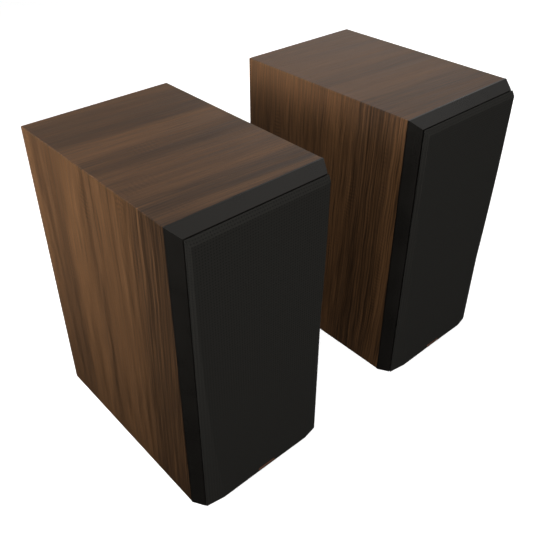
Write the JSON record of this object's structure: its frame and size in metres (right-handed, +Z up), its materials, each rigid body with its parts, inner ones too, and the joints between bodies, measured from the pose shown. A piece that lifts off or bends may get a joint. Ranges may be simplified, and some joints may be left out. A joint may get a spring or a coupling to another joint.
{
  "type": "bookshelf loudspeaker pair",
  "caption": "Pair of two-way bookshelf loudspeakers with wood-wrapped cabinets, bevelled black baffles, pull-off cloth grilles, rear ports and binding posts.",
  "frame": {"origin": "bottom centre of the pair's bounding box, on the surface that it stands on", "axes": "+X along the pair to the right loudspeaker, -Y towards the listener, +Z up"},
  "size_m": [0.5458, 0.3308, 0.4],
  "materials": {
    "walnut": "satin walnut veneer foil on fibreboard",
    "black_board": "satin black paint on fibreboard",
    "rear_board": "black textured foil on fibreboard",
    "frame_plastic": "moulded black plastic",
    "grille_cloth": "fine woven black cloth",
    "badge": "brushed copper-coloured metal",
    "magnet_steel": "nickel-plated",
    "motor_steel": "zinc-plated steel and ferrite",
    "basket": "black powder-coated cast alloy",
    "cone": "woven composite cone",
    "dust_cap": "satin moulded cap",
    "surround": "matt butyl rubber",
    "spider": "resin-stiffened cloth",
    "coil": "aluminium former with copper winding",
    "waveguide": "satin moulded plastic",
    "dome": "satin metal dome",
    "screw": "black oxide steel",
    "port": "smooth black plastic",
    "terminal_plate": "textured black plastic",
    "post_metal": "gold-plated brass",
    "red_plastic": "clear red plastic",
    "black_plastic": "black plastic",
    "circuit": "circuit board with its parts",
    "lead": "insulated lead",
    "wadding": "polyester wadding"
  },
  "bodies": {
    "left_speaker": {"left_cabinet_top_and_base": "walnut", "left_cabinet_sides": "walnut", "left_rear_panel": "rear_board", "left_front_baffle": "black_board", "left_baffle_magnets": "magnet_steel", "left_woofer_basket": "basket", "left_woofer_motor": "motor_steel", "left_woofer_surround": "surround", "left_woofer_spider": "spider", "left_tweeter_plate": "waveguide", "left_tweeter_motor": "motor_steel", "left_panel_screws": "screw", "left_port_tube": "port", "left_terminal_plate": "terminal_plate", "left_binding_posts": "post_metal", "left_crossover": "circuit", "left_wiring": "lead", "left_wadding": "wadding"},
    "left_grille": {"left_grille_frame": "frame_plastic", "left_grille_cloth": "grille_cloth", "left_grille_badge": "badge", "left_grille_magnets": "magnet_steel"},
    "left_woofer": {"left_woofer_cone": "cone", "left_woofer_dust_cap": "dust_cap", "left_woofer_coil": "coil"},
    "left_tweeter": {"left_tweeter_dome": "dome"},
    "left_collar_red": {"left_collar_red": "red_plastic"},
    "left_cap_red": {"left_cap_red": "red_plastic"},
    "left_collar_black": {"left_collar_black": "black_plastic"},
    "left_cap_black": {"left_cap_black": "black_plastic"},
    "right_speaker": {"right_cabinet_top_and_base": "walnut", "right_cabinet_sides": "walnut", "right_rear_panel": "rear_board", "right_front_baffle": "black_board", "right_baffle_magnets": "magnet_steel", "right_woofer_basket": "basket", "right_woofer_motor": "motor_steel", "right_woofer_surround": "surround", "right_woofer_spider": "spider", "right_tweeter_plate": "waveguide", "right_tweeter_motor": "motor_steel", "right_panel_screws": "screw", "right_port_tube": "port", "right_terminal_plate": "terminal_plate", "right_binding_posts": "post_metal", "right_crossover": "circuit", "right_wiring": "lead", "right_wadding": "wadding"},
    "right_grille": {"right_grille_frame": "frame_plastic", "right_grille_cloth": "grille_cloth", "right_grille_badge": "badge", "right_grille_magnets": "magnet_steel"},
    "right_woofer": {"right_woofer_cone": "cone", "right_woofer_dust_cap": "dust_cap", "right_woofer_coil": "coil"},
    "right_tweeter": {"right_tweeter_dome": "dome"},
    "right_collar_red": {"right_collar_red": "red_plastic"},
    "right_cap_red": {"right_cap_red": "red_plastic"},
    "right_collar_black": {"right_collar_black": "black_plastic"},
    "right_cap_black": {"right_cap_black": "black_plastic"}
  },
  "joints": [
    {"name": "left_grille_pull", "type": "slide", "parent": "left_speaker", "child": "left_grille", "axis": [0, -1, 0], "range_m": [0, 0.08]},
    {"name": "left_woofer_stroke", "type": "slide", "parent": "left_speaker", "child": "left_woofer", "axis": [0, -1, 0], "range_m": [-0.004, 0.004], "stiffness_N_per_m": 1000, "deforming": ["left_woofer_surround", "left_woofer_spider"]},
    {"name": "left_tweeter_stroke", "type": "slide", "parent": "left_speaker", "child": "left_tweeter", "axis": [0, -1, 0], "range_m": [-0.0003, 0.0003], "stiffness_N_per_m": 400},
    {"name": "left_collar_red_slide", "type": "slide", "parent": "left_speaker", "child": "left_collar_red", "axis": [0, 1, 0], "range_m": [0, 0.0041]},
    {"name": "left_cap_red_turn", "type": "hinge", "parent": "left_collar_red", "child": "left_cap_red", "pos_m": [-0.16228, 0.15735, 0.105], "axis": [0, 1, 0], "range_deg": [0, 1800]},
    {"name": "left_collar_black_slide", "type": "slide", "parent": "left_speaker", "child": "left_collar_black", "axis": [0, 1, 0], "range_m": [0, 0.0041]},
    {"name": "left_cap_black_turn", "type": "hinge", "parent": "left_collar_black", "child": "left_cap_black", "pos_m": [-0.18132, 0.15735, 0.105], "axis": [0, 1, 0], "range_deg": [0, 1800]},
    {"name": "right_grille_pull", "type": "slide", "parent": "right_speaker", "child": "right_grille", "axis": [0, -1, 0], "range_m": [0, 0.08]},
    {"name": "right_woofer_stroke", "type": "slide", "parent": "right_speaker", "child": "right_woofer", "axis": [0, -1, 0], "range_m": [-0.004, 0.004], "stiffness_N_per_m": 1000, "deforming": ["right_woofer_surround", "right_woofer_spider"]},
    {"name": "right_tweeter_stroke", "type": "slide", "parent": "right_speaker", "child": "right_tweeter", "axis": [0, -1, 0], "range_m": [-0.0003, 0.0003], "stiffness_N_per_m": 400},
    {"name": "right_collar_red_slide", "type": "slide", "parent": "right_speaker", "child": "right_collar_red", "axis": [0, 1, 0], "range_m": [0, 0.0041]},
    {"name": "right_cap_red_turn", "type": "hinge", "parent": "right_collar_red", "child": "right_cap_red", "pos_m": [0.18132, 0.15735, 0.105], "axis": [0, 1, 0], "range_deg": [0, 1800]},
    {"name": "right_collar_black_slide", "type": "slide", "parent": "right_speaker", "child": "right_collar_black", "axis": [0, 1, 0], "range_m": [0, 0.0041]},
    {"name": "right_cap_black_turn", "type": "hinge", "parent": "right_collar_black", "child": "right_cap_black", "pos_m": [0.16228, 0.15735, 0.105], "axis": [0, 1, 0], "range_deg": [0, 1800]},
    {"name": "right_speaker_place", "type": "slide", "parent": "left_speaker", "child": "right_speaker", "axis": [1, 0, 0], "range_m": [-0.12, 0.6]}
  ],
  "couplings": [
    {"joint": "left_collar_red_slide", "follows": "left_cap_red_turn", "m_per_rad": 0.00012732},
    {"joint": "left_collar_black_slide", "follows": "left_cap_black_turn", "m_per_rad": 0.00012732},
    {"joint": "right_collar_red_slide", "follows": "right_cap_red_turn", "m_per_rad": 0.00012732},
    {"joint": "right_collar_black_slide", "follows": "right_cap_black_turn", "m_per_rad": 0.00012732}
  ]
}
